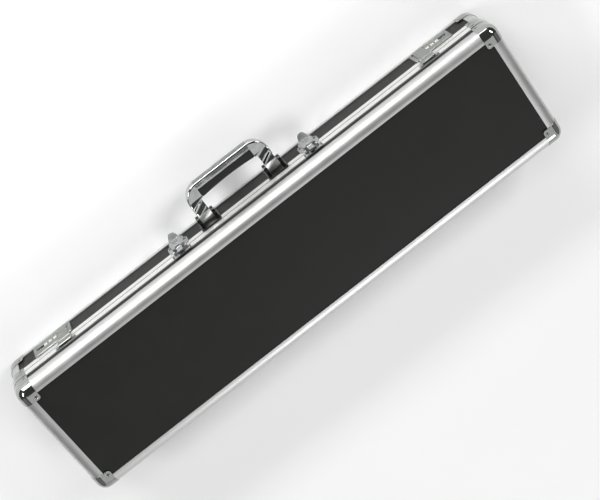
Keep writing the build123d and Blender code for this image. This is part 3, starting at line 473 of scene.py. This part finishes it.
wheel_plastic = satin_plastic("cream_moulded_acetal", "#E4E3DC", "#CFCEC6")
figure_ink = satin_plastic("black_filled_figures", "#1B1B1B", "#0E0E0E")
figure_size, figure_depth = 3.0 * MM, 0.06 * MM
figure_count = 10
for side in ("left", "right"):
    for number in (1, 2, 3):
        wheel = f"{side}_lock_dial_{number}"
        dress(wheel_plastic, wheel)
        low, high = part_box(wheel)
        axle = (low + high) / 2
        flat_depth = (high.y - low.y) / 2
        figures = []
        for digit in range(figure_count):
            bpy.ops.object.select_all(action="DESELECT")
            bpy.ops.object.text_add()
            figure = bpy.context.object
            figure.data.body = str(digit)
            figure.data.size = figure_size
            figure.data.extrude = figure_depth
            figure.data.align_x = "CENTER"
            figure.data.align_y = "CENTER"
            bpy.ops.object.convert(target="MESH")
            turn = Matrix.Rotation(digit * math.tau / figure_count, 4, "X")
            stand = Matrix.Rotation(math.pi / 2, 4, "X")
            seat = Matrix.Translation((0, -flat_depth, 0))
            figure.data.transform(Matrix.Translation(axle) @ turn @ seat @ stand)
            figures.append(figure)
        only(figures[0])
        for figure in figures:
            figure.select_set(True)
        bpy.ops.object.join()
        figures[0].name = f"{side}_dial_{number}_figures"
        finish_piece(figures[0], figure_ink, f"{side}_dial_{number}", "dial")


# ---- Base lining ---------------------------------------------------------
# Cut foam under black velvet: a bed on the rear panel, walls that keep the
# cues apart, and blocks at the ends, all glued in and slightly uneven.

# Velvet over foam: near black, with random patches of brushed pile that are painted lighter, a painted sheen.
pile_pitch, pile_relief = 0.6 * MM, 0.4 * MM
pile_and_sheen_patch = 26 * MM


def black_velvet():
    material, tree = new_material("black_velvet_over_foam")
    place = add(tree, "ShaderNodeTexCoord")
    pile = add(tree, "ShaderNodeTexNoise", {"Vector": place.outputs["Object"]},
               Scale=1 / pile_pitch, Detail=4.0, Roughness=0.7)
    brushed_pile_and_sheen = add(tree, "ShaderNodeTexNoise", {"Vector": place.outputs["Object"]},
                  Scale=1 / pile_and_sheen_patch, Detail=4.0, Roughness=0.6, Distortion=1.2)
    # Partly painted sheen: the brushed patches take a lighter colour.
    tint = add(tree, "ShaderNodeValToRGB", {"Fac": brushed_pile_and_sheen.outputs["Fac"]},
               stops=((0.35, "#101013"), (0.65, "#24242A")))
    relief = add(tree, "ShaderNodeBump", {"Height": pile.outputs["Fac"]},
                 Strength=0.6, Distance=pile_relief)
    shader = add(tree, "ShaderNodeBsdfPrincipled",
                 {"Base Color": tint.outputs["Color"], "Normal": relief.outputs["Normal"]},
                 Roughness=0.95, Sheen_Weight=0.5, Sheen_Roughness=0.4, Sheen_Tint=linear("#8A8A96"))
    add(tree, "ShaderNodeOutputMaterial", {"Surface": shader.outputs["BSDF"]})
    return material


velvet = black_velvet()
unevenness = bpy.data.textures.new("foam_unevenness", "CLOUDS")
unevenness.noise_scale = 45 * MM


def foam_block(low, high, edge, spacing=12 * MM):
    """A foam block of evenly cut faces, with soft edges."""
    bpy.ops.object.select_all(action="DESELECT")
    bpy.ops.mesh.primitive_cube_add(size=1)
    block = bpy.context.object
    size = high - low
    block.scale = size
    block.location = (low + high) / 2
    bpy.ops.object.transform_apply(location=True, rotation=True, scale=True)
    for axis in range(3):
        mesh = bmesh.new()
        mesh.from_mesh(block.data)
        rails = [e for e in mesh.edges
                 if abs(abs((e.verts[0].co - e.verts[1].co)[axis]) - size[axis]) < 1e-6]
        cuts = int((size[axis] - 2 * edge) / spacing)
        if cuts > 0:
            bmesh.ops.subdivide_edges(mesh, edges=rails, cuts=cuts, use_grid_fill=True)
        mesh.to_mesh(block.data)
        mesh.free()
    apply_modifier(block, "BEVEL", width=edge, segments=3, limit_method="ANGLE", angle_limit=sharp_edge)
    return block


def soft_group(name, blocks, body, *nodes):
    """Joins covered foam blocks into one piece with slightly uneven faces."""
    only(blocks[0])
    for block in blocks:
        block.select_set(True)
    bpy.ops.object.join()
    piece = blocks[0]
    piece.name = name
    apply_modifier(piece, "DISPLACE", texture=unevenness, strength=1.0 * MM, mid_level=0.7,
                   texture_coords="LOCAL")
    finish_piece(piece, velvet, body, "velvet", *nodes)


def spans_of(node):
    """The boxes of a CAD node's separate solids."""
    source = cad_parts[node]
    mesh = bmesh.new()
    mesh.from_mesh(source.data)
    bmesh.ops.remove_doubles(mesh, verts=mesh.verts, dist=0.001 * MM)
    seen, boxes = set(), []
    for start in mesh.verts:
        if start in seen:
            continue
        island, front = [], [start]
        seen.add(start)
        while front:
            vert = front.pop()
            island.append(source.matrix_world @ vert.co)
            for edge in vert.link_edges:
                other = edge.other_vert(vert)
                if other not in seen:
                    seen.add(other)
                    front.append(other)
        low = Vector([min(p[i] for p in island) for i in range(3)])
        high = Vector([max(p[i] for p in island) for i in range(3)])
        boxes.append((low, high))
    mesh.free()
    return boxes


bed_low, bed_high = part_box("floor_pad")
soft_group("velvet_floor_bed", [foam_block(bed_low, bed_high, 2 * MM, 20 * MM)], "base", "floor_pad")
walls = [foam_block(low, high, 2.6 * MM) for low, high in spans_of("cue_dividers")]
soft_group("velvet_cue_walls", walls, "base", "cue_dividers")
blocks = [foam_block(low, high, 2.4 * MM) for low, high in spans_of("end_blocks")]
soft_group("velvet_end_blocks", blocks, "base", "end_blocks")


# ---- Lid lining ----------------------------------------------------------
# A thicker velvet-covered foam pad glued into the lid, sewn across into
# panels, which presses on the cues when the case is shut.

pad_low, pad_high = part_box("lid_pad")
margin, pad_edge = 2.5 * MM, 8 * MM
voxel = 6 * MM
swell_limit = 2.2 * MM
seam_count, seam_width, seam_depth = 7, 5 * MM, 4 * MM
sewn_face = pad_low.z + 12 * MM
pad = foam_block(pad_low + Vector((margin, margin, margin)), pad_high - Vector((margin, margin, 0)), pad_edge)
pad.name = "velvet_lid_pad"
apply_modifier(pad, "REMESH", mode="VOXEL", voxel_size=voxel)
rest = [vert.co.copy() for vert in pad.data.vertices]
glued = pad.vertex_groups.new(name="glued")
glued.add([v.index for v in pad.data.vertices if v.co.z > pad_high.z - 2 * voxel], 1.0, "REPLACE")
cloth = pad.modifiers.new("cloth", "CLOTH")
cloth.settings.use_pressure = True
cloth.settings.uniform_pressure_force = 4.0
cloth.settings.effector_weights.gravity = 0.0
cloth.settings.vertex_group_mass = "glued"
for step in range(1, 21):
    bpy.context.scene.frame_set(step)
only(pad)
bpy.ops.object.modifier_apply(modifier="cloth")
bpy.context.scene.frame_set(1)
for vert, start in zip(pad.data.vertices, rest):
    moved = vert.co - start
    if moved.length > swell_limit:
        vert.co = start + moved.normalized() * swell_limit
apply_modifier(pad, "SUBSURF", levels=1, render_levels=1)
seam_pitch = (pad_high.x - pad_low.x) / (seam_count + 1)
for vert in pad.data.vertices:
    along = (vert.co.x - pad_low.x) / seam_pitch
    nearest = round(along)
    if vert.co.z < sewn_face and 0 < nearest <= seam_count:
        off = abs(along - nearest) * seam_pitch
        vert.co.z += seam_depth * math.exp(-(off / seam_width) ** 2)
finish_piece(pad, velvet, "lid", "velvet", "lid_pad")


# ---- Studio --------------------------------------------------------------
# A pale table in a dark room, with broad dim panels behind the case, one on
# each side, two side keys, and a low key and a strip on the handle side.

scene = bpy.context.scene
scene.view_settings.view_transform = "Standard"
world = bpy.data.worlds.new("dark_room")
scene.world = world
world.use_nodes = True
world.node_tree.nodes["Background"].inputs["Color"].default_value = linear("#FFFFFF")
world.node_tree.nodes["Background"].inputs["Strength"].default_value = 0.07


def soft_light(name, place, wide, deep, watts):
    """A rectangular soft light aimed at the case."""
    data = bpy.data.lights.new(name, "AREA")
    data.shape = "RECTANGLE"
    data.size, data.size_y, data.energy = wide, deep, watts
    lamp = bpy.data.objects.new(name, data)
    lamp.location = place
    lamp.rotation_euler = (Vector((0, 0, 0.05)) - Vector(place)).to_track_quat("-Z", "Y").to_euler()
    scene.collection.objects.link(lamp)


soft_light("back_overhead_panel", (0, 1.2, 1.9), 3.4, 1.6, 12)
soft_light("back_wall_panel", (0, 2.3, 0.7), 4.0, 1.3, 12)
soft_light("left_wall_panel", (2.1, 1.1, 0.9), 1.4, 1.4, 1.2)
soft_light("right_wall_panel", (-2.1, 1.1, 0.9), 1.4, 1.4, 1.2)
soft_light("left_key", (2.0, -0.9, 1.8), 1.2, 0.4, 27)
soft_light("right_key", (-2.0, -0.9, 1.8), 1.2, 0.4, 27)
soft_light("front_key", (0.3, -1.9, 1.05), 1.6, 0.3, 26)
soft_light("front_strip", (0, -1.6, 0.36), 2.2, 0.16, 10)
soft_light("back_key", (-0.3, 1.75, 1.6), 1.2, 0.7, 12)

# The table: matt pale paint, with the faintest mottle.
table_size, mottle_size = 6.0, 1 / 3
bpy.ops.object.select_all(action="DESELECT")
bpy.ops.mesh.primitive_grid_add(x_subdivisions=8, y_subdivisions=8, size=table_size, location=(0, 0, 0))
table = bpy.context.object
table.name = "table"
table_paint, tree = new_material("pale_table_paint")
place = add(tree, "ShaderNodeTexCoord")
mottle = add(tree, "ShaderNodeTexNoise", {"Vector": place.outputs["Object"]}, Scale=1 / mottle_size)
tint = add(tree, "ShaderNodeValToRGB", {"Fac": mottle.outputs["Fac"]},
           stops=((0.0, "#F2F2F2"), (1.0, "#F6F6F6")))
shader = add(tree, "ShaderNodeBsdfPrincipled", {"Base Color": tint.outputs["Color"]}, Roughness=0.9)
add(tree, "ShaderNodeOutputMaterial", {"Surface": shader.outputs["BSDF"]})
table.data.materials.append(table_paint)

# The camera looks down on the lid from the handle side, rolled so that the
# long edges rise to the right.
camera_tilt = math.radians(24.561)
camera_turn = math.radians(-0.252)
camera_roll = math.radians(37.74)
camera_distance = 2.141
camera_aside, camera_down = 15.6 * MM, 10.78 * MM
lens_length = 91.59

case_low, case_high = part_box("lid_long_profiles")
aim = Vector((0, (case_low.y + case_high.y) / 2, case_high.z))
right = Vector((-math.cos(camera_turn), 0, -math.sin(camera_turn)))
level = Vector((math.sin(camera_turn), 0, -math.cos(camera_turn)))
away = level * math.cos(camera_tilt) + Vector((0, math.sin(camera_tilt), 0))
up = level * math.sin(camera_tilt) - Vector((0, math.cos(camera_tilt), 0))
eye = aim + right * camera_aside + up * camera_down - away * camera_distance
image_right = right * math.cos(camera_roll) - up * math.sin(camera_roll)
image_up = right * math.sin(camera_roll) + up * math.cos(camera_roll)
camera_data = bpy.data.cameras.new("camera")
camera_data.lens = lens_length
camera_data.sensor_width = 36.0
camera = bpy.data.objects.new("camera", camera_data)
camera.matrix_world = Matrix.Translation(eye) @ Matrix((image_right, image_up, -away)).transposed().to_4x4()
scene.collection.objects.link(camera)
scene.camera = camera
